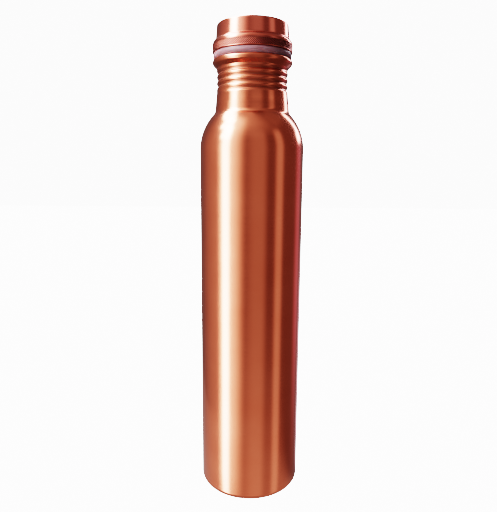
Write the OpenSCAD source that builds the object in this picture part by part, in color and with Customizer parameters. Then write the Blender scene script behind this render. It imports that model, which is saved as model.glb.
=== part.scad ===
// Copper water bottle: seamless shell, rolled neck thread, rolled mouth bead,
// silicone sealing ring and a screw lid with a knurled band and a threaded plug.
// Millimetres, +Z up, base on Z = 0, rest pose is the lid screwed home.

/* [Bottle] */
// Outside diameter of the straight body
body_diameter = 70; // [60:0.5:80]
// Height where the straight wall ends and the shoulder begins
shoulder_start = 240.2; // [150:0.1:300]
// Radius of the round shoulder
shoulder_radius = 33.5; // [20:0.5:35]
// Radius of the hollow curve between shoulder and neck
neck_fillet = 5; // [2:0.5:10]
// Sheet thickness of the copper
wall = 0.8; // [0.6:0.1:1.2]
// Radius of the rounded bottom edge
base_corner = 4.1; // [2:0.1:10]
// How far the middle of the base is pushed in
base_recess = 1.8; // [0.5:0.1:4]
// Radius inside the flat ring that the bottle stands on
foot_radius = 27.8; // [20:0.1:32]

/* [Neck and thread] */
// Outside radius of the neck where the thread is rolled
neck_radius = 23.65; // [20:0.05:28]
// Cone angle of the plain neck below the thread, degrees
neck_cone = 5.4; // [0:0.1:10]
// Height where the cone ends
neck_top = 277; // [200:0.5:320]
// Rise of the thread in one turn
pitch = 4; // [3:0.1:6]
// Depth of the rolled groove
thread_depth = 1.1; // [0.6:0.05:1.5]
// Height of the groove's centre where it begins
thread_start = 277.42; // [250:0.01:300]
// Direction in which the groove begins, degrees from +X
thread_from = 200; // [0:5:360]
// Flat facets round the thread
facets = 48; // [36:4:96]

/* [Mouth] */
// Height where the rolled bead begins
bead_bottom = 292.7; // [250:0.1:320]
// Height of the mouth
mouth_height = 298.7; // [260:0.1:330]
// Outside radius of the bead
bead_radius = 26.4; // [24:0.1:30]
// Radius of the bead's own roundness
bead_round = 2.3; // [1:0.1:2.6]

/* [Seal] */
// Outside radius of the sealing ring
seal_radius = 25.75; // [24:0.05:30]
// Hole radius of the sealing ring
seal_bore = 22.8; // [22:0.05:25]
// Height of the sealing ring
seal_height = 3.7; // [1:0.1:6]

/* [Lid] */
// Height of the whole bottle with its lid on
total_height = 320.4; // [250:0.1:350]
// Outside radius of the lid's knurled band
band_radius = 26.4; // [24:0.1:30]
// Height of the knurled band
band_height = 4.8; // [3:0.1:8]
// Outside radius of the lid's wall at its top
lid_top_radius = 23.6; // [20:0.05:28]
// Outside radius of the lid's wall at its foot
lid_foot_radius = 24.2; // [20:0.05:28]
// Radius of the round shoulder above the band
flare_radius = 4; // [2:0.1:6]
// Radius of the hollow curve between that shoulder and the wall
flare_fillet = 0.8; // [0.4:0.1:2]
// Radial gap between the neck's thread and the plug's thread
thread_gap = 0.4; // [0.3:0.05:0.6]
// Height of the plug's lower end
plug_bottom = 277.6; // [260:0.1:295]

/* [Hidden] */
$fn = 96;
body_radius = body_diameter / 2;
neck_bore = neck_radius - wall;
plug_radius = neck_bore - thread_gap;
lid_bottom = mouth_height + seal_height;
thread_low = 275.2;
plug_thread_top = 293.6;
groove_end = 1190;
groove_fade = 80;
edge_round = 0.9;
shoulder_centre = [body_radius - shoulder_radius, shoulder_start];
copper = [0.72, 0.38, 0.24];
copper_dark = [0.62, 0.30, 0.18];
copper_light = [0.80, 0.46, 0.30];
silicone = [0.82, 0.76, 0.80];

function arc(c, r, a0, a1, n) = [for (i = [0 : n]) let (a = a0 + (a1 - a0) * i / n)
    [c[0] + r * cos(a), c[1] + r * sin(a)]];
function clamp01(x) = min(1, max(0, x));
function neck_at(z) = neck_radius + max(0, neck_top - z) * tan(neck_cone);

// centre of the hollow curve that joins shoulder and neck
fillet_from = [neck_radius + neck_fillet * cos(neck_cone), neck_top + neck_fillet * sin(neck_cone)];
fillet_way = [sin(neck_cone), -cos(neck_cone)];
fillet_rel = fillet_from - shoulder_centre;
fillet_dot = fillet_rel * fillet_way;
fillet_s = -fillet_dot - sqrt(pow(fillet_dot, 2) - fillet_rel * fillet_rel
    + pow(shoulder_radius + neck_fillet, 2));
fillet_centre = fillet_from + fillet_s * fillet_way;
join_angle = atan2(fillet_centre[1] - shoulder_centre[1], fillet_centre[0] - shoulder_centre[0]);

// the shell's side, at a distance t inside the outer skin
function shell_side(t) = concat(
    [[body_radius - t, shoulder_start]],
    arc(shoulder_centre, shoulder_radius - t, 0, join_angle, 20),
    arc(fillet_centre, neck_fillet + t, 180 + join_angle, 180 + neck_cone, 8),
    [[neck_at(thread_low) - t / cos(neck_cone), thread_low]]);

module bottle_shell() {
    corner = [body_radius - base_corner, base_corner];
    outer = concat(
        [[0, base_recess], [foot_radius - 3, base_recess], [foot_radius, 0]],
        arc(corner, base_corner, -90, 0, 10),
        shell_side(0));
    inner = concat(
        [[0, base_recess + wall], [foot_radius - 2.7, base_recess + wall], [foot_radius + 0.3, wall]],
        arc(corner, base_corner - wall, -90, 0, 8),
        shell_side(wall));
    color(copper)
    rotate_extrude()
        polygon(concat(outer, [for (i = [len(inner) - 1 : -1 : 0]) inner[i]]));
}

// 0 on the plain wall, 1 at the bottom of the rolled groove
function groove(a, z, fade_in, full_to, fade) = max([for (k = [-3 : 5])
    let (phi = ((a - thread_from + 720) % 360) + 360 * k,
         u = (z - thread_start - pitch * phi / 360) / pitch,
         amp = (fade_in > 0 ? clamp01(phi / fade_in) : 1) * clamp01((full_to + fade - phi) / fade))
    abs(u) < 0.5 ? amp * (1 + cos(360 * u)) / 2 : 0]);

module tube_grid(rows_out, rows_in) {
    nz = len(rows_out);
    n = len(rows_out[0]);
    pts = concat([for (row = rows_out) each row], [for (row = rows_in) each row]);
    m = nz * n;
    faces = concat(
        [for (i = [0 : nz - 2], j = [0 : n - 1]) each
            [[i * n + j, (i + 1) * n + j, (i + 1) * n + (j + 1) % n],
             [i * n + j, (i + 1) * n + (j + 1) % n, i * n + (j + 1) % n]]],
        [for (i = [0 : nz - 2], j = [0 : n - 1]) each
            [[m + i * n + j, m + (i + 1) * n + (j + 1) % n, m + (i + 1) * n + j],
             [m + i * n + j, m + i * n + (j + 1) % n, m + (i + 1) * n + (j + 1) % n]]],
        [for (j = [0 : n - 1]) each
            [[j, (j + 1) % n, m + (j + 1) % n], [j, m + (j + 1) % n, m + j]]],
        [for (j = [0 : n - 1]) each
            let (t = (nz - 1) * n)
            [[t + j, m + t + (j + 1) % n, t + (j + 1) % n], [t + j, m + t + j, m + t + (j + 1) % n]]]);
    polyhedron(points = pts, faces = faces, convexity = 8);
}

module neck_thread() {
    count = 30;
    heights = [for (i = [0 : count]) thread_low + (bead_bottom - thread_low) * i / count];
    function skin(a, i) = neck_at(heights[i])
        - thread_depth * (i == count ? 0 : groove(a, heights[i], 50, groove_end, groove_fade));
    color(copper_light)
    tube_grid(
        [for (i = [0 : count]) [for (j = [0 : facets - 1]) let (a = 360 * j / facets, r = skin(a, i))
            [r * cos(a), r * sin(a), heights[i]]]],
        [for (i = [0 : count]) [for (j = [0 : facets - 1]) let (a = 360 * j / facets, r = skin(a, i) - wall)
            [r * cos(a), r * sin(a), heights[i]]]]);
}

module mouth_bead() {
    color(copper)
    rotate_extrude()
        polygon(concat(
            [[neck_bore, bead_bottom], [neck_radius, bead_bottom]],
            arc([bead_radius - bead_round, mouth_height - bead_round], bead_round, -45, 90, 12),
            arc([neck_bore + edge_round, mouth_height - edge_round], edge_round, 90, 180, 5)));
}

module seal_ring() {
    e = 0.5;
    z0 = mouth_height;
    z1 = lid_bottom;
    color(silicone)
    rotate_extrude()
        polygon(concat(
            [[seal_bore, z0], [seal_radius - e - 0.1, z0]],
            arc([seal_radius - e - 0.1, z0 + e], e, -90, 0, 4),
            [[seal_radius, (z0 + z1) / 2]],
            arc([seal_radius - e - 0.1, z1 - e], e, 0, 90, 4),
            [[seal_bore, z1]]));
}

// the lid's skin from the middle of its top down to its band, t inside the outside
flare_centre = [band_radius - flare_radius, lid_bottom + band_height];
flare_join = acos((lid_foot_radius + flare_fillet - flare_centre[0]) / (flare_radius + flare_fillet));
flare_top = flare_centre + (flare_radius + flare_fillet) * [cos(flare_join), sin(flare_join)];
function lid_skin(t) = concat(
    [[0, total_height - t]],
    arc([lid_top_radius - 1.3, total_height - 1.3], 1.3 - t, 90, 0, 6),
    arc(flare_top, flare_fillet + t, 180, 180 + flare_join, 5),
    arc(flare_centre, flare_radius - t, flare_join, 0, 8));

module lid_shell() {
    outer = concat(lid_skin(0),
        arc([band_radius - 0.6, lid_bottom + 0.6], 0.6, 0, -90, 4),
        [[23.0, lid_bottom]]);
    inner = concat(lid_skin(wall), [[band_radius - wall, lid_bottom + wall], [23.0, lid_bottom + wall]]);
    color(copper)
    rotate_extrude()
        polygon(concat(outer, [for (i = [len(inner) - 1 : -1 : 0]) inner[i]]));
}

module plug_sleeve() {
    z0 = plug_thread_top;
    z1 = lid_bottom + wall;
    color(copper_dark)
    rotate_extrude()
        polygon([[plug_radius - wall, z0], [plug_radius, z0], [plug_radius, z1],
            [25.4, z1], [25.4, z1 + wall], [plug_radius, z1 + wall],
            [plug_radius - wall * 0.7, z1 + wall * 0.7], [plug_radius - wall, z1]]);
}

module plug_thread() {
    count = 26;
    lead_in = plug_radius - 0.55;
    z0 = plug_bottom + wall;
    z1 = plug_thread_top;
    heights = [for (i = [0 : count]) z0 + (z1 - z0) * i / count];
    function skin(a, i) = min(lead_in + (heights[i] - z0) * 0.8,
        plug_radius - thread_depth * (i == count ? 0 : groove(a, heights[i], 0, groove_end + 60, groove_fade)));
    color(copper_light)
    tube_grid(
        [for (i = [0 : count]) [for (j = [0 : facets - 1]) let (a = 360 * j / facets, r = skin(a, i))
            [r * cos(a), r * sin(a), heights[i]]]],
        [for (i = [0 : count]) [for (j = [0 : facets - 1]) let (a = 360 * j / facets, r = skin(a, i) - wall)
            [r * cos(a), r * sin(a), heights[i]]]]);
}

module plug_disc() {
    color(copper)
    rotate_extrude()
        polygon([[0, plug_bottom], [20.7, plug_bottom], [21.1, plug_bottom + 0.15],
            [21.3, plug_bottom + 0.5], [21.3, plug_bottom + wall], [0, plug_bottom + wall]]);
}

bottle_shell();
neck_thread();
mouth_bead();
seal_ring();
lid_shell();
plug_sleeve();
plug_thread();
plug_disc();
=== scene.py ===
"""Copper water bottle: the looks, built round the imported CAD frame, in metres.

The bottle is one drawn and spun copper shell. Its screw lid is a pressed copper
cap with a threaded plug soldered inside, and a soft ring seals it on the mouth.
"""
import math

import bpy
from mathutils import Matrix


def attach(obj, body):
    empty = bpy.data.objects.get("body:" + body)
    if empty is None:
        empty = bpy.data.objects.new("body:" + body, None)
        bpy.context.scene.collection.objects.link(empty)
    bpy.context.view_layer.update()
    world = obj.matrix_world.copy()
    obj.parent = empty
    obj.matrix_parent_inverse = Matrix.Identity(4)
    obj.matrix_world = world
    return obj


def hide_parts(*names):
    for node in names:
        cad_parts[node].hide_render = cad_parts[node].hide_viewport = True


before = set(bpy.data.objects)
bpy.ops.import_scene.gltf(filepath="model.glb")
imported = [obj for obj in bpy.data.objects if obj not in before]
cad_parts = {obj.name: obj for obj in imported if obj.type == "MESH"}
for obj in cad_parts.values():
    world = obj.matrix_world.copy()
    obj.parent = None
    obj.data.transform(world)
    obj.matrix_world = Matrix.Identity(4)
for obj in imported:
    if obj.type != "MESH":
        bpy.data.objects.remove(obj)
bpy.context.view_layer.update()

# --- The copper shell -------------------------------------------------------
# One seamless sheet of copper, 0.8 mm thick: drawn into a tube, spun in to make
# the shoulder and neck, rolled with a screw thread, and curled over at the mouth.
# The thread's groove is rolled through both skins of the sheet.
MM = 0.001
SHEET = 0.8 * MM
BODY_RADIUS = 35.0 * MM
BASE_CORNER = 4.1 * MM
BASE_RECESS = 1.8 * MM
BASE_FLAT = 24.2 * MM  # radius of the recess's flat middle
BASE_RING = 28.6 * MM  # radius of the ring that the bottle stands on
SHOULDER_START = 240.2 * MM
SHOULDER_RADIUS = 33.5 * MM
NECK_FILLET = 5.0 * MM
NECK_RADIUS = 23.65 * MM
NECK_CONE = math.radians(5.4)
NECK_TOP = 277.0 * MM
THREAD_LOW = 275.2 * MM
THREAD_ROWS = 72
FADE_LOW = 0.5 * MM  # the groove comes in over this height
FADE_HIGH = 0.8 * MM  # and goes out over this one
BEAD_BOTTOM = 292.7 * MM
BEAD_RADIUS = 26.4 * MM
BEAD_ROUND = 2.3 * MM
LIP_ROUND = 0.9 * MM
MOUTH = 298.7 * MM
FACETS = 160  # round the axis
SEAM = 0.002 * MM  # points closer than this are joined, at the seam and the poles


def arc(centre, radius, start, end, steps):
    """Points on an arc of an outline, as (distance from the axis, height); degrees."""
    turns = [start + (end - start) * i / steps for i in range(steps + 1)]
    return [(centre[0] + radius * math.cos(math.radians(t)),
             centre[1] + radius * math.sin(math.radians(t))) for t in turns]


def run(start, end, steps):
    """Points along a straight run of an outline, without its first point."""
    return [(start[0] + (end[0] - start[0]) * i / steps,
             start[1] + (end[1] - start[1]) * i / steps) for i in range(1, steps + 1)]


def reckoning(tree):
    """Makers of a tree's Math and Map Range nodes; each takes sockets or plain numbers
    and gives its node's output. A ramp is held at its ends."""
    def fill(socket, term):
        if isinstance(term, bpy.types.NodeSocket):
            tree.links.new(term, socket)
        else:
            socket.default_value = term

    def maths(operation, *terms):
        node = tree.nodes.new("ShaderNodeMath")
        node.operation = operation
        for socket, term in zip(node.inputs, terms):
            fill(socket, term)
        return node.outputs[0]

    def ramp(value, low, high, to_low=0.0, to_high=1.0, smooth=True):
        node = tree.nodes.new("ShaderNodeMapRange")
        node.interpolation_type = "SMOOTHSTEP" if smooth else "LINEAR"
        for name, term in (("Value", value), ("From Min", low), ("From Max", high),
                           ("To Min", to_low), ("To Max", to_high)):
            fill(node.inputs[name], term)
        return node.outputs["Result"]

    return maths, ramp


def turned_tree(name, sizes, relief=None, crisp=False):
    """A node tree that turns an outline round the bottle's axis into a closed skin.
    relief(tree, given, share of a turn, height) gives how much of Depth is pressed in,
    and the skin keeps that as its attribute "groove". crisp folds each face along its
    shorter diagonal, which keeps the ridges of a fine relief straight."""
    tree = bpy.data.node_groups.new(name, "GeometryNodeTree")
    for label, way, kind in [("Outline", "INPUT", "Geometry"), ("Skin", "OUTPUT", "Geometry"),
                             ("Facets around", "INPUT", "Int"), ("Finish", "INPUT", "Material"),
                             *((size, "INPUT", "Float") for size in sizes)]:
        tree.interface.new_socket(label, in_out=way, socket_type="NodeSocket" + kind)
    new, link = tree.nodes.new, tree.links.new
    maths, _ = reckoning(tree)
    given = new("NodeGroupInput").outputs
    count = new("GeometryNodeAttributeDomainSize")
    link(given["Outline"], count.inputs[0])
    points = count.outputs["Point Count"]
    grid = new("GeometryNodeMeshGrid")
    link(maths("ADD", given["Facets around"], 1), grid.inputs["Vertices X"])
    link(points, grid.inputs["Vertices Y"])
    index = new("GeometryNodeInputIndex").outputs[0]
    column = maths("FLOOR", maths("DIVIDE", maths("ADD", index, 0.5), points))
    row = maths("SUBTRACT", index, maths("MULTIPLY", column, points))

    def outline_value(kind, value):
        sample = new("GeometryNodeSampleIndex")
        sample.data_type = kind
        link(given["Outline"], sample.inputs["Geometry"])
        link(value, next(s for s in sample.inputs if s.name == "Value" and s.enabled))
        link(row, sample.inputs["Index"])
        return next(s for s in sample.outputs if s.enabled)

    place = new("ShaderNodeSeparateXYZ")
    link(outline_value("FLOAT_VECTOR", new("GeometryNodeInputPosition").outputs[0]),
         place.inputs[0])
    radius, height = place.outputs["X"], place.outputs["Z"]
    share = maths("DIVIDE", column, given["Facets around"])
    angle = maths("MULTIPLY", share, math.tau)
    keep = new("GeometryNodeStoreNamedAttribute")
    keep.data_type, keep.domain = "FLOAT", "POINT"
    keep.inputs["Name"].default_value = "groove"
    if relief:
        worked = new("GeometryNodeInputNamedAttribute")
        worked.data_type = "FLOAT"
        worked.inputs["Name"].default_value = "worked"
        pressed = outline_value("FLOAT", worked.outputs["Attribute"])
        depth = maths("MULTIPLY", relief(tree, given, share, height), pressed)
        radius = maths("SUBTRACT", radius, maths("MULTIPLY", depth, given["Depth"]))
        link(depth, keep.inputs["Value"])
    where = new("ShaderNodeCombineXYZ")
    link(maths("MULTIPLY", radius, maths("COSINE", angle)), where.inputs["X"])
    link(maths("MULTIPLY", radius, maths("SINE", angle)), where.inputs["Y"])
    link(height, where.inputs["Z"])
    move = new("GeometryNodeSetPosition")
    link(grid.outputs["Mesh"], move.inputs["Geometry"])
    link(where.outputs[0], move.inputs["Position"])
    link(move.outputs[0], keep.inputs["Geometry"])
    close = new("GeometryNodeMergeByDistance")
    close.inputs["Distance"].default_value = SEAM
    link(keep.outputs[0], close.inputs["Geometry"])
    skin = close.outputs[0]
    if crisp:
        fold = new("GeometryNodeTriangulate")
        fold.quad_method = "SHORTEST_DIAGONAL"
        link(skin, fold.inputs["Mesh"])
        skin = fold.outputs[0]
    smooth = new("GeometryNodeSetShadeSmooth")
    link(skin, smooth.inputs["Geometry"])
    real = new("GeometryNodeRealizeInstances")
    link(smooth.outputs[0], real.inputs["Geometry"])
    finish = new("GeometryNodeSetMaterial")
    link(real.outputs[0], finish.inputs["Geometry"])
    link(given["Finish"], finish.inputs["Material"])
    link(finish.outputs[0], new("NodeGroupOutput").inputs[0])
    return tree


def turn(name, outline, tree, facets, finish, **sizes):
    """A piece turned from its outline, a list of (distance from the axis, height) or
    of those two with how much of the relief is pressed in there."""
    mesh = bpy.data.meshes.new(name)
    mesh.from_pydata([(p[0], 0.0, p[1]) for p in outline],
                     [(i, i + 1) for i in range(len(outline) - 1)], [])
    worked = mesh.attributes.new("worked", "FLOAT", "POINT")
    worked.data.foreach_set("value", [p[2] if len(p) > 2 else 0.0 for p in outline])
    piece = bpy.data.objects.new(name, mesh)
    bpy.context.scene.collection.objects.link(piece)
    lathe = piece.modifiers.new("lathe", "NODES")
    lathe.node_group = tree
    sockets = {s.name: s.identifier for s in tree.interface.items_tree if s.in_out == "INPUT"}
    lathe[sockets["Facets around"]] = facets
    lathe[sockets["Finish"]] = finish
    for size, value in sizes.items():
        lathe[sockets[size.replace("_", " ")]] = value
    graph = bpy.context.evaluated_depsgraph_get()
    turned = bpy.data.meshes.new_from_object(piece.evaluated_get(graph))
    piece.modifiers.remove(lathe)
    piece.data = turned
    turned.name = name
    turned.materials.clear()
    turned.materials.append(finish)
    turned.polygons.foreach_set("material_index", [0] * len(turned.polygons))
    return piece


def rolled_thread(tree, given, share, height):
    """Depth of the one-start right-hand groove that the threading wheel rolls."""
    maths, ramp = reckoning(tree)
    along = maths("FRACT", maths("SUBTRACT", share, given["Start direction"]))
    climb = maths("DIVIDE", maths("SUBTRACT", height, given["Start height"]), given["Pitch"])
    off = maths("SUBTRACT", climb, along)
    travel = maths("ADD", maths("ROUND", off), along)
    lead_in = ramp(travel, 0.0, given["Lead in"])
    last = maths("ADD", given["Turns"], given["Run out"])
    run_out = ramp(travel, given["Turns"], last, 1.0, 0.0)
    wave = maths("MULTIPLY_ADD", maths("COSINE", maths("MULTIPLY", off, math.tau)), 0.5, 0.5)
    return maths("MULTIPLY", wave, maths("MULTIPLY", lead_in, run_out))


LACQUER = 0.22
LACQUER_ROUGHNESS = 0.24
MARKS_ALONG = 9.0  # noise steps a metre along the turning marks
MARKS_ACROSS = 2600.0  # and across them
MARKS_DEPTH = 0.02 * MM
MARKS_STRENGTH = 0.10
MARKS_GRAIN = 0.10  # how far the turning marks move the roughness
CLOUD_HAZE = 0.04  # and how far the clouds move it
CLOUD_SCALE = 38.0
CLOUD_TONE = (0.95, 0.90, 0.88)
# tone and roughness of the painted shade, a dark brown that darkens grooves and chosen bands
PAINTED_SHADE_TONE = (0.16, 0.16, 0.19)  # both tones are shares of the copper's own
SHADE_ROUGHNESS = 0.24
SHADE_SETTLING = 1.6  # above 1, it keeps to the bottom of a groove


def copper_finish(name, roughness, tone, marks, groove_shade=0.0, shade_at=((0.0, 0.0), (0.33, 0.0))):
    """Lacquered satin copper: faint turning marks, soft cloudy tone, and painted shade, a dark
    brown laid deepest in its grooves and on the height bands given as (height, share) pairs."""
    finish = bpy.data.materials.new(name)
    finish.use_nodes = True
    tree = finish.node_tree
    new, link = tree.nodes.new, tree.links.new
    maths, ramp = reckoning(tree)
    surface = tree.nodes["Principled BSDF"]
    surface.inputs["Metallic"].default_value = 1.0
    surface.inputs["Coat Weight"].default_value = LACQUER
    surface.inputs["Coat Roughness"].default_value = LACQUER_ROUGHNESS
    place = new("ShaderNodeTexCoord").outputs["Object"]
    split = new("ShaderNodeSeparateXYZ")
    link(place, split.inputs[0])
    east, north, height = split.outputs
    # turning marks run round the axis, so their noise is squeezed up the walls
    # and out from the middle of the flat faces
    out = maths("SQRT", maths("ADD", maths("POWER", east, 2.0), maths("POWER", north, 2.0)))
    squeeze = new("ShaderNodeCombineXYZ")
    link(maths("MULTIPLY", east, MARKS_ALONG), squeeze.inputs["X"])
    link(maths("MULTIPLY", north, MARKS_ALONG), squeeze.inputs["Y"])
    link(maths("MULTIPLY", maths("SUBTRACT", height, out), MARKS_ACROSS), squeeze.inputs["Z"])
    rings = new("ShaderNodeTexNoise")
    rings.inputs["Scale"].default_value = 1.0
    rings.inputs["Detail"].default_value = 3.0
    link(squeeze.outputs[0], rings.inputs["Vector"])
    clouds = new("ShaderNodeTexNoise")
    clouds.inputs["Scale"].default_value = CLOUD_SCALE
    clouds.inputs["Detail"].default_value = 4.0
    link(place, clouds.inputs["Vector"])
    colour = new("ShaderNodeValToRGB")
    dark, bright = colour.color_ramp.elements
    dark.position, dark.color = 0.3, (*(t * b for t, b in zip(tone, CLOUD_TONE)), 1)
    bright.position, bright.color = 0.7, (*tone, 1)
    link(clouds.outputs["Fac"], colour.inputs["Fac"])
    # painted shade: patchy on the height bands given as pairs, and deepest in the grooves
    low, high = shade_at[0][0], shade_at[-1][0]
    banded_shade = new("ShaderNodeValToRGB")
    link(ramp(height, low, high, smooth=False), banded_shade.inputs["Fac"])
    stops = banded_shade.color_ramp.elements
    for level, share in shade_at:
        at = (level - low) / (high - low)
        stop = stops[0] if level == low else stops[-1] if level == high else stops.new(at)
        stop.position = at
        stop.color = (share, share, share, 1)
    patchy_shade = maths("MULTIPLY", banded_shade.outputs["Color"],
                   maths("MULTIPLY_ADD", clouds.outputs["Fac"], 0.8, 0.6))
    groove = new("ShaderNodeAttribute")
    groove.attribute_name = "groove"
    groove_weight = maths("POWER", groove.outputs["Fac"], SHADE_SETTLING)
    painted_shade = maths("MINIMUM", maths("MULTIPLY_ADD", groove_weight, groove_shade, patchy_shade), 1.0)
    shaded_tone = new("ShaderNodeMix")
    shaded_tone.data_type = "RGBA"
    link(painted_shade, shaded_tone.inputs["Factor"])
    link(colour.outputs["Color"], shaded_tone.inputs["A"])
    shaded_tone.inputs["B"].default_value = (*(t * b for t, b in zip(tone, PAINTED_SHADE_TONE)), 1)
    link(shaded_tone.outputs["Result"], surface.inputs["Base Color"])
    grain = maths("MULTIPLY_ADD", rings.outputs["Fac"], MARKS_GRAIN * marks,
                  roughness - MARKS_GRAIN / 2 * marks)
    haze = maths("MULTIPLY_ADD", clouds.outputs["Fac"], CLOUD_HAZE, -CLOUD_HAZE / 2)
    film = maths("MULTIPLY_ADD", painted_shade, SHADE_ROUGHNESS, haze)
    link(maths("ADD", grain, film), surface.inputs["Roughness"])
    bump = new("ShaderNodeBump")
    bump.inputs["Strength"].default_value = MARKS_STRENGTH * marks
    bump.inputs["Distance"].default_value = MARKS_DEPTH
    link(rings.outputs["Fac"], bump.inputs["Height"])
    link(bump.outputs["Normal"], surface.inputs["Normal"])
    return finish


def neck_at(height):
    """Radius of the neck, a cone up to NECK_TOP and straight above it."""
    return NECK_RADIUS + max(0.0, NECK_TOP - height) * math.tan(NECK_CONE)


def shell_side(inset):
    """The side of the shell from the straight wall up to the thread, inset from the outer
    skin: a round shoulder, and a hollow fillet that touches both it and the neck's cone."""
    shoulder = (BODY_RADIUS - SHOULDER_RADIUS, SHOULDER_START)
    start = (NECK_RADIUS + NECK_FILLET * math.cos(NECK_CONE),
             NECK_TOP + NECK_FILLET * math.sin(NECK_CONE))
    way = (math.sin(NECK_CONE), -math.cos(NECK_CONE))
    rel = (start[0] - shoulder[0], start[1] - shoulder[1])
    dot = -(rel[0] * way[0] + rel[1] * way[1])
    apart = SHOULDER_RADIUS + NECK_FILLET
    reach = dot - math.sqrt(dot ** 2 - rel[0] ** 2 - rel[1] ** 2 + apart ** 2)
    hollow = (start[0] + reach * way[0], start[1] + reach * way[1])
    join = math.degrees(math.atan2(hollow[1] - shoulder[1], hollow[0] - shoulder[0]))
    dome = arc(shoulder, SHOULDER_RADIUS - inset, 0, join, steps=36)
    sweep = arc(hollow, NECK_FILLET + inset, 180 + join, 180 + math.degrees(NECK_CONE), steps=14)
    foot = (BODY_RADIUS - inset, BASE_CORNER)
    neck_end = (neck_at(THREAD_LOW) - inset, THREAD_LOW)
    return run(foot, dome[0], steps=16) + dome[1:] + sweep[1:] + run(sweep[-1], neck_end, steps=6)


def threaded(inset):
    """The rolled part of the neck, with how much of the groove is pressed in at each row."""
    rows = []
    for i in range(1, THREAD_ROWS + 1):
        z = THREAD_LOW + (BEAD_BOTTOM - THREAD_LOW) * i / THREAD_ROWS
        fade = min(1.0, (z - THREAD_LOW) / FADE_LOW, (BEAD_BOTTOM - z) / FADE_HIGH)
        rows.append((neck_at(z) - inset, z, fade))
    return rows


def pushed_in(lift, wider):
    """The base, from its middle out to the ring that the bottle stands on."""
    flat, ring = BASE_FLAT + wider, BASE_RING + wider
    rows = [(r * MM, BASE_RECESS + lift) for r in (0, 6, 12, 18)]
    for i in range(9):
        t = i / 8
        slope = BASE_RECESS * 0.5 * (1 + math.cos(math.pi * t))
        rows.append((flat + (ring - flat) * t, lift + slope))
    return rows


corner = (BODY_RADIUS - BASE_CORNER, BASE_CORNER)
bead = (BEAD_RADIUS - BEAD_ROUND, MOUTH - BEAD_ROUND)
lip = (NECK_RADIUS - SHEET + LIP_ROUND, MOUTH - LIP_ROUND)
bead_curl = arc(bead, BEAD_ROUND, -45, 90, steps=18)
outer_skin = (pushed_in(lift=0.0, wider=0.0) + arc(corner, BASE_CORNER, -90, 0, steps=14)
              + shell_side(0.0) + threaded(0.0)
              + run((neck_at(BEAD_BOTTOM), BEAD_BOTTOM), bead_curl[0], steps=7)[:-1]
              + bead_curl + arc(lip, LIP_ROUND, 90, 180, steps=6))
inner_skin = (pushed_in(lift=SHEET, wider=0.2 * MM)
              + arc(corner, BASE_CORNER - SHEET, -90, 0, steps=10)
              + shell_side(SHEET) + threaded(SHEET))
# painted shade where the neck starts, along the thread, and most in the hollow under the bead
shell_copper = copper_finish(
    "shell_copper", roughness=0.165, tone=(0.92, 0.272, 0.158), marks=1.0, groove_shade=0.48,
    shade_at=((262.0 * MM, 0.0), (269.0 * MM, 0.22), (272.0 * MM, 0.0), (277.0 * MM, 0.25),
             (291.5 * MM, 0.3), (293.0 * MM, 0.45), (296.0 * MM, 0.45), (297.5 * MM, 0.2),
             (MOUTH, 0.1)))
thread_tree = turned_tree("spun shell with rolled thread",
                          ("Pitch", "Depth", "Start height", "Start direction", "Turns",
                           "Lead in", "Run out"), rolled_thread)
# the thread's start, length and fading ends are in turns
THREAD = dict(Pitch=4.0 * MM, Depth=0.85 * MM, Start_height=277.42 * MM,
              Start_direction=200 / 360, Turns=1190 / 360, Lead_in=50 / 360, Run_out=80 / 360)
shell = turn("copper_shell", outer_skin + inner_skin[::-1], thread_tree, FACETS, shell_copper,
             **THREAD)
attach(shell, "bottle")
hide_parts("bottle_shell", "neck_thread", "mouth_bead")

# --- The sealing ring -------------------------------------------------------
# A moulded ring of milky silicone, hollowed below to lap over the curled mouth. It
# is pushed up round the plug against the lid's lip and squeezed when the lid is home.
SEAL_RADIUS = 25.75 * MM
SEAL_BORE = 22.8 * MM
SEAL_HEIGHT = 3.7 * MM
SEAL_EDGE = 0.5 * MM
SEAL_BORE_EDGE = 0.3 * MM
SEAL_GAP = 0.06 * MM
LID_BOTTOM = MOUTH + SEAL_HEIGHT

silicone = bpy.data.materials.new("milky_silicone")
silicone.use_nodes = True
rubber = silicone.node_tree.nodes["Principled BSDF"]
rubber.inputs["Roughness"].default_value = 0.38
rubber.inputs["Subsurface Weight"].default_value = 0.6
rubber.inputs["Subsurface Scale"].default_value = 2.5 * MM
rubber.inputs["Subsurface Radius"].default_value = (1.0, 0.45, 0.4)
rubber.inputs["Transmission Weight"].default_value = 0.3
rubber.inputs["IOR"].default_value = 1.41
new, link = silicone.node_tree.nodes.new, silicone.node_tree.links.new
bloom = new("ShaderNodeTexNoise")
bloom.inputs["Scale"].default_value = 160.0
bloom.inputs["Detail"].default_value = 3.0
link(new("ShaderNodeTexCoord").outputs["Object"], bloom.inputs["Vector"])
milk = new("ShaderNodeValToRGB")
thick, thin = milk.color_ramp.elements
thick.position, thick.color = 0.35, (0.345, 0.19, 0.21, 1)
thin.position, thin.color = 0.65, (0.40, 0.22, 0.245, 1)
link(bloom.outputs["Fac"], milk.inputs["Fac"])
link(milk.outputs["Color"], rubber.inputs["Base Color"])

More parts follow.
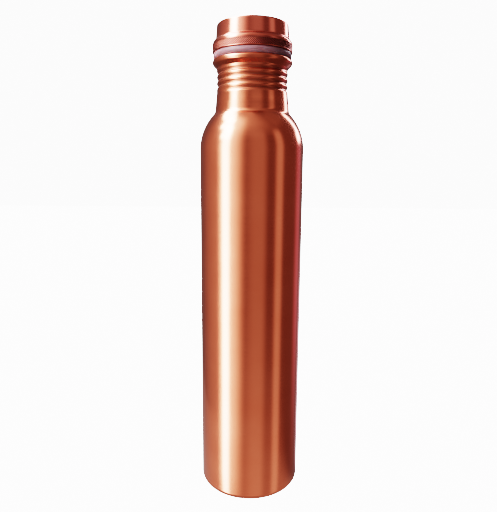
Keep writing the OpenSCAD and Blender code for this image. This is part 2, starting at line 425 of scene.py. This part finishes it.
on_bead = BEAD_ROUND + SEAL_GAP
lap = math.degrees(math.acos((SEAL_RADIUS - bead[0]) / on_bead))
bore_edge = SEAL_BORE + SEAL_BORE_EDGE
ring_outline = (arc(bead, on_bead, 90, lap, steps=8)
                + arc((SEAL_RADIUS - SEAL_EDGE, LID_BOTTOM - SEAL_EDGE), SEAL_EDGE,
                      0, 90, steps=8)
                + arc((bore_edge, LID_BOTTOM - SEAL_BORE_EDGE), SEAL_BORE_EDGE,
                      90, 180, steps=4)
                + arc((bore_edge, MOUTH + SEAL_GAP + SEAL_BORE_EDGE), SEAL_BORE_EDGE,
                      180, 270, steps=4))
plain_tree = turned_tree("plain turned ring", ())
seal = turn("seal_ring_soft", ring_outline + ring_outline[:1], plain_tree, FACETS, silicone)
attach(seal, "seal")
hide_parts("seal_ring")

# --- The lid ----------------------------------------------------------------
# A pressed copper cap with a flat top and a flared foot. Its foot band is knurled
# with a fine diamond pattern for grip, and its edge is turned in under the band.
TOP = 320.4 * MM
TOP_EDGE = 1.3 * MM
LID_TOP_RADIUS = 23.6 * MM
LID_FOOT_RADIUS = 24.2 * MM
LID_BORE = 23.0 * MM
FLARE = 4.0 * MM
FLARE_FILLET = 0.8 * MM
BAND_RADIUS = 26.4 * MM
BAND_HEIGHT = 4.8 * MM
BAND_TOP = LID_BOTTOM + BAND_HEIGHT
BAND_EDGE = 0.6 * MM
DIAMONDS = 130
FACETS_PER_DIAMOND = 4
DIAMOND_ROWS = 4
ROWS_PER_DIAMOND = 4


def diamond_knurl(tree, given, share, height):
    """Depth of the two crossing sets of grooves that leave small blunt diamonds."""
    maths, _ = reckoning(tree)
    across = maths("MULTIPLY", share, given["Diamonds around"])
    up = maths("DIVIDE", maths("SUBTRACT", height, given["Band foot"]), given["Diamond height"])
    sets = []
    for operation in ("ADD", "SUBTRACT"):
        crossing = maths("FRACT", maths(operation, across, up))
        sets.append(maths("ABSOLUTE", maths("MULTIPLY_ADD", crossing, 2.0, -1.0)))
    slope = maths("MULTIPLY_ADD", maths("MAXIMUM", *sets), given["Bluntness"],
                  maths("SUBTRACT", 1.0, given["Bluntness"]))
    return maths("MAXIMUM", slope, 0.0)


flare = (BAND_RADIUS - FLARE, BAND_TOP)
meet = math.acos((LID_FOOT_RADIUS + FLARE_FILLET - flare[0]) / (FLARE + FLARE_FILLET))
flare_top = (flare[0] + (FLARE + FLARE_FILLET) * math.cos(meet),
             flare[1] + (FLARE + FLARE_FILLET) * math.sin(meet))


def lid_skin(inset):
    """The lid from the middle of its top down to the band, inset from the outer skin."""
    middle = (0.0, TOP - inset)
    top_edge = arc((LID_TOP_RADIUS - TOP_EDGE, TOP - TOP_EDGE), TOP_EDGE - inset, 90, 0, steps=10)
    hollow = arc(flare_top, FLARE_FILLET + inset, 180, 180 + math.degrees(meet), steps=7)
    swell = arc(flare, FLARE - inset, math.degrees(meet), 0, steps=12)
    return ([middle] + run(middle, top_edge[0], steps=5) + top_edge[1:]
            + run(top_edge[-1], hollow[0], steps=4) + hollow[1:] + swell[1:])


knurl_rows = DIAMOND_ROWS * ROWS_PER_DIAMOND
band = [(r, z, 1.0) for r, z in run((BAND_RADIUS, BAND_TOP), (BAND_RADIUS, LID_BOTTOM + BAND_EDGE),
                                    steps=knurl_rows)[:-1]]
lid_outline = (lid_skin(0.0) + band
               + arc((BAND_RADIUS - BAND_EDGE, LID_BOTTOM + BAND_EDGE), BAND_EDGE,
                     0, -90, steps=5)
               + [(LID_BORE, LID_BOTTOM), (LID_BORE, LID_BOTTOM + SHEET),
                  (BAND_RADIUS - SHEET, LID_BOTTOM + SHEET)]
               + lid_skin(SHEET)[::-1])
# painted shade all over the knurled band and deepest in its grooves, and a little in the hollow at
# the foot of the lid's wall
lid_copper = copper_finish(
    "lid_copper", roughness=0.16, tone=(0.84, 0.24, 0.165), marks=0.8, groove_shade=1.1,
    shade_at=((LID_BOTTOM, 0.5), (BAND_TOP, 0.5), (BAND_TOP + 1.2 * MM, 0.05),
             (BAND_TOP + FLARE - 0.5 * MM, 0.3), (BAND_TOP + FLARE + 0.7 * MM, 0.0), (TOP, 0.0)))
knurl_tree = turned_tree("pressed lid with knurled band",
                         ("Diamonds around", "Diamond height", "Band foot", "Depth", "Bluntness"),
                         diamond_knurl, crisp=True)
lid = turn("lid_cover", lid_outline[::-1], knurl_tree, DIAMONDS * FACETS_PER_DIAMOND, lid_copper,
           Diamonds_around=DIAMONDS, Diamond_height=(BAND_HEIGHT - BAND_EDGE) / DIAMOND_ROWS,
           Band_foot=LID_BOTTOM + BAND_EDGE, Depth=0.36 * MM, Bluntness=1.25)
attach(lid, "lid")
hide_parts("lid_shell")

# --- The plug ---------------------------------------------------------------
# A copper cup soldered inside the lid by its flange. Its wall carries the mating
# thread, 0.4 mm clear of the neck's, and a disc is soldered over its lower end.
PLUG_RADIUS = NECK_RADIUS - SHEET - 0.4 * MM
PLUG_BOTTOM = 277.6 * MM
PLUG_THREAD_TOP = 293.6 * MM
PLUG_LEAD = PLUG_RADIUS - 0.55 * MM  # radius of the tapered foot
PLUG_LEAD_SLOPE = 0.8
PLUG_THREAD_RISE = 1.4 * MM  # the groove comes in over this height
DISC_RADIUS = 20.3 * MM
FLANGE_RADIUS = 25.4 * MM
FLANGE = LID_BOTTOM + SHEET


def plug_wall(inset, steps):
    """The plug's wall from its foot up to the top of its thread, with how much of the
    groove is pressed in at each row; the foot tapers to find the mouth."""
    foot = PLUG_BOTTOM + SHEET
    rows = []
    for i in range(steps + 1):
        z = foot + (PLUG_THREAD_TOP - foot) * i / steps
        radius = min(PLUG_LEAD + (z - foot) * PLUG_LEAD_SLOPE, PLUG_RADIUS)
        fade = min(1.0, (z - foot - inset) / PLUG_THREAD_RISE, (PLUG_THREAD_TOP - z) / FADE_HIGH)
        rows.append((radius - inset, z, max(0.0, fade)))
    return rows


plug_outer = ([(0.0, PLUG_BOTTOM)] + run((0.0, PLUG_BOTTOM), (DISC_RADIUS, PLUG_BOTTOM), steps=4)
              + arc((PLUG_LEAD - SHEET, PLUG_BOTTOM + SHEET), SHEET, -90, 0, steps=6)
              + plug_wall(0.0, steps=64)[1:]
              + [(PLUG_RADIUS, FLANGE - 0.5 * MM), (PLUG_RADIUS, FLANGE), (FLANGE_RADIUS, FLANGE),
                 (FLANGE_RADIUS, FLANGE + SHEET), (PLUG_RADIUS, FLANGE + SHEET)])
plug_inner = ([(PLUG_RADIUS - SHEET, FLANGE + SHEET * 0.6)] + plug_wall(SHEET, steps=32)[::-1]
              + run((PLUG_LEAD - SHEET, PLUG_BOTTOM + SHEET), (0.0, PLUG_BOTTOM + SHEET), steps=4))
plug_copper = copper_finish("plug_copper", roughness=0.22, tone=(0.90, 0.30, 0.18), marks=1.3)
# the plug's thread starts at once, and runs a little further than the neck's
plug = turn("threaded_plug", plug_outer + plug_inner, thread_tree, FACETS, plug_copper,
            **dict(THREAD, Lead_in=0.001, Turns=1250 / 360))
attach(plug, "lid")
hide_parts("plug_sleeve", "plug_thread", "plug_disc")

# --- The studio -------------------------------------------------------------
# A white floor, a camera about a third of a metre away at seven tenths of the bottle's
# height, and a dim room with tall soft panels of light standing round it.
CAMERA_PLACE = (0.0, -0.34563, 0.22449)
CAMERA_AIM, CAMERA_DIP, CAMERA_LEAN = 0.005, 0.1653, 0.0072  # radians
FLOOR_SIZE = 6.0
BACKDROP = 6.0  # strength of the plain white that the camera sees
BOUNCE = 0.21
BOUNCE_REACH = 0.16
BOARD_LEFT = (-0.150, -0.140)
SHADOW_START = (50, 84)  # degrees round from the camera, positive to the right
SHADOW_END = (140, 179)
ROOM_GLOW = (0.155, 0.135, 0.14)
# Each panel: name, degrees round from the camera (edge, full, full, edge), degrees
# above the horizon likewise, strength, colour.
PANELS = [
    ("tall key softbox", (-71, -62, -57, -47), (-55, -24, 34, 50), 12.5, (1, 1, 1)),
    ("key spill", (-84, -62, -54, -9), (-58, -22, 54, 78), 2.0, (1, 1, 1)),
    ("key skirt", (-150, -85, -70, -55), (-58, -24, 10, 80), 0.28, (1, 1, 1)),
    ("boom softbox", (-178, -166, -92, -70), (46, 51, 58, 70), 24.0, (1, 1, 1)),
    ("boom elbow", (-94, -86, -70, -58), (33, 41, 54, 64), 24.0, (1, 1, 1)),
    ("boom foot", (-78, -71, -60, -52), (16, 26, 40, 52), 20.0, (1, 1, 1)),
    ("ceiling", (-170, -80, -30, 95), (20, 60, 90, 91), 0.42, (1, 1, 1)),
    ("far ceiling", (60, 80, 110, 135), (38, 50, 66, 80), 0.07, (1, 1, 1)),
    ("window fill", (-26, 10, 24, 40), (-56, -38, 25, 50), 0.21, (1, 1, 1)),
    ("narrow strip", (50, 61, 68, 78), (-56, -36, 28, 45), 0.36, (1, 1, 1)),
    ("rim softbox", (122, 130, 139, 146), (7, 13, 15, 22), 9.0, (1, 0.9, 1)),
    ("rim softbox head", (130, 135, 140, 145), (14, 20, 36, 44), 8.0, (1, 0.9, 1)),
    ("rim foot", (110, 127, 133, 145), (-36, -12, 8, 13), 0.27, (1, 0.45, 0.8)),
    ("rim glint", (146, 151, 156, 161), (-34, -28, -16, -4), 0.6, (1, 0.8, 1)),
]

camera_data = bpy.data.cameras.new("studio_camera")
camera = bpy.data.objects.new("studio_camera", camera_data)
bpy.context.scene.collection.objects.link(camera)
camera_data.sensor_width = 36.0
camera_data.lens = 34.76
camera_data.clip_start = 0.01
camera.matrix_world = (Matrix.Translation(CAMERA_PLACE)
                       @ Matrix.Rotation(CAMERA_AIM, 4, "Z")
                       @ Matrix.Rotation(math.pi / 2 - CAMERA_DIP, 4, "X")
                       @ Matrix.Rotation(CAMERA_LEAN, 4, "Z"))
bpy.context.scene.camera = camera


def white_to_camera(tree, lit, plain_kind, output):
    """The camera sees plain white there; light and reflections get what is lit."""
    plain = tree.nodes.new(plain_kind)
    plain.inputs["Strength"].default_value = BACKDROP
    ray = tree.nodes.new("ShaderNodeLightPath")
    seen = tree.nodes.new("ShaderNodeMixShader")
    tree.links.new(ray.outputs["Is Camera Ray"], seen.inputs[0])
    tree.links.new(lit, seen.inputs[1])
    tree.links.new(plain.outputs[0], seen.inputs[2])
    tree.links.new(seen.outputs[0], tree.nodes[output].inputs["Surface"])


bpy.ops.mesh.primitive_plane_add(size=FLOOR_SIZE, location=(0.0, 0.0, 0.0))
floor = bpy.context.object
floor.name = "studio_floor"
white = bpy.data.materials.new("studio_white")
white.use_nodes = True
floor.data.materials.append(white)
tree = white.node_tree
maths, ramp = reckoning(tree)
tree.nodes.remove(tree.nodes["Principled BSDF"])
spot = tree.nodes.new("ShaderNodeSeparateXYZ")
tree.links.new(tree.nodes.new("ShaderNodeTexCoord").outputs["Object"], spot.inputs[0])
right, ahead = spot.outputs["X"], spot.outputs["Y"]
# the floor glows with painted bounce light, as a white board under the bottle would throw up:
# most at its foot, none past the board's left edge, and a painted shadow on the right where
# the bottle's own shadow lies
from_axis = maths("SQRT", maths("ADD", maths("POWER", right, 2.0), maths("POWER", ahead, 2.0)))
away = maths("SUBTRACT", from_axis, BODY_RADIUS)
near = maths("EXPONENT", maths("DIVIDE", away, -BOUNCE_REACH))
direction = maths("DEGREES", maths("ARCTAN2", right, maths("MULTIPLY", ahead, -1.0)))
unshaded = maths("MAXIMUM", ramp(direction, *SHADOW_START, 1.0, 0.0),
                 ramp(direction, *SHADOW_END))
on_board = maths("MULTIPLY", unshaded, ramp(right, *BOARD_LEFT))
bounce = tree.nodes.new("ShaderNodeEmission")
tree.links.new(maths("MULTIPLY", maths("MULTIPLY", near, on_board), BOUNCE),
               bounce.inputs["Strength"])
clear = tree.nodes.new("ShaderNodeBsdfTransparent")
board = tree.nodes.new("ShaderNodeAddShader")
tree.links.new(clear.outputs[0], board.inputs[0])
tree.links.new(bounce.outputs[0], board.inputs[1])
white_to_camera(tree, board.outputs[0], "ShaderNodeEmission", "Material Output")

room = bpy.data.worlds.new("studio")
bpy.context.scene.world = room
room.use_nodes = True
tree = room.node_tree
maths, ramp = reckoning(tree)
way = tree.nodes.new("ShaderNodeSeparateXYZ")
tree.links.new(tree.nodes.new("ShaderNodeTexCoord").outputs["Generated"], way.inputs[0])
direction = maths("DEGREES", maths("ARCTAN2", way.outputs["X"],
                                   maths("MULTIPLY", way.outputs["Y"], -1.0)))
rise = maths("DEGREES", maths("ARCSINE", way.outputs["Z"]))
glow = tree.nodes.new("ShaderNodeRGB")
glow.outputs[0].default_value = (*ROOM_GLOW, 1)
light = glow.outputs[0]
for name, across, up, strength, colour in PANELS:
    sides = [ramp(direction, *across[:2]), ramp(direction, *across[:1:-1]),
             ramp(rise, *up[:2]), ramp(rise, *up[:1:-1])]
    panel = tree.nodes.new("ShaderNodeVectorMath")
    panel.operation = "MULTIPLY_ADD"
    panel.label = name
    panel.inputs[0].default_value = [strength * c for c in colour]
    tree.links.new(maths("MULTIPLY", maths("MULTIPLY", *sides[:2]),
                         maths("MULTIPLY", *sides[2:])), panel.inputs[1])
    tree.links.new(light, panel.inputs[2])
    light = panel.outputs[0]
tree.links.new(light, tree.nodes["Background"].inputs["Color"])
white_to_camera(tree, tree.nodes["Background"].outputs[0], "ShaderNodeBackground",
                "World Output")
bpy.context.scene.view_settings.view_transform = "Filmic"
bpy.context.scene.view_settings.look = "Very High Contrast"
bpy.context.scene.cycles.filter_width = 1.0
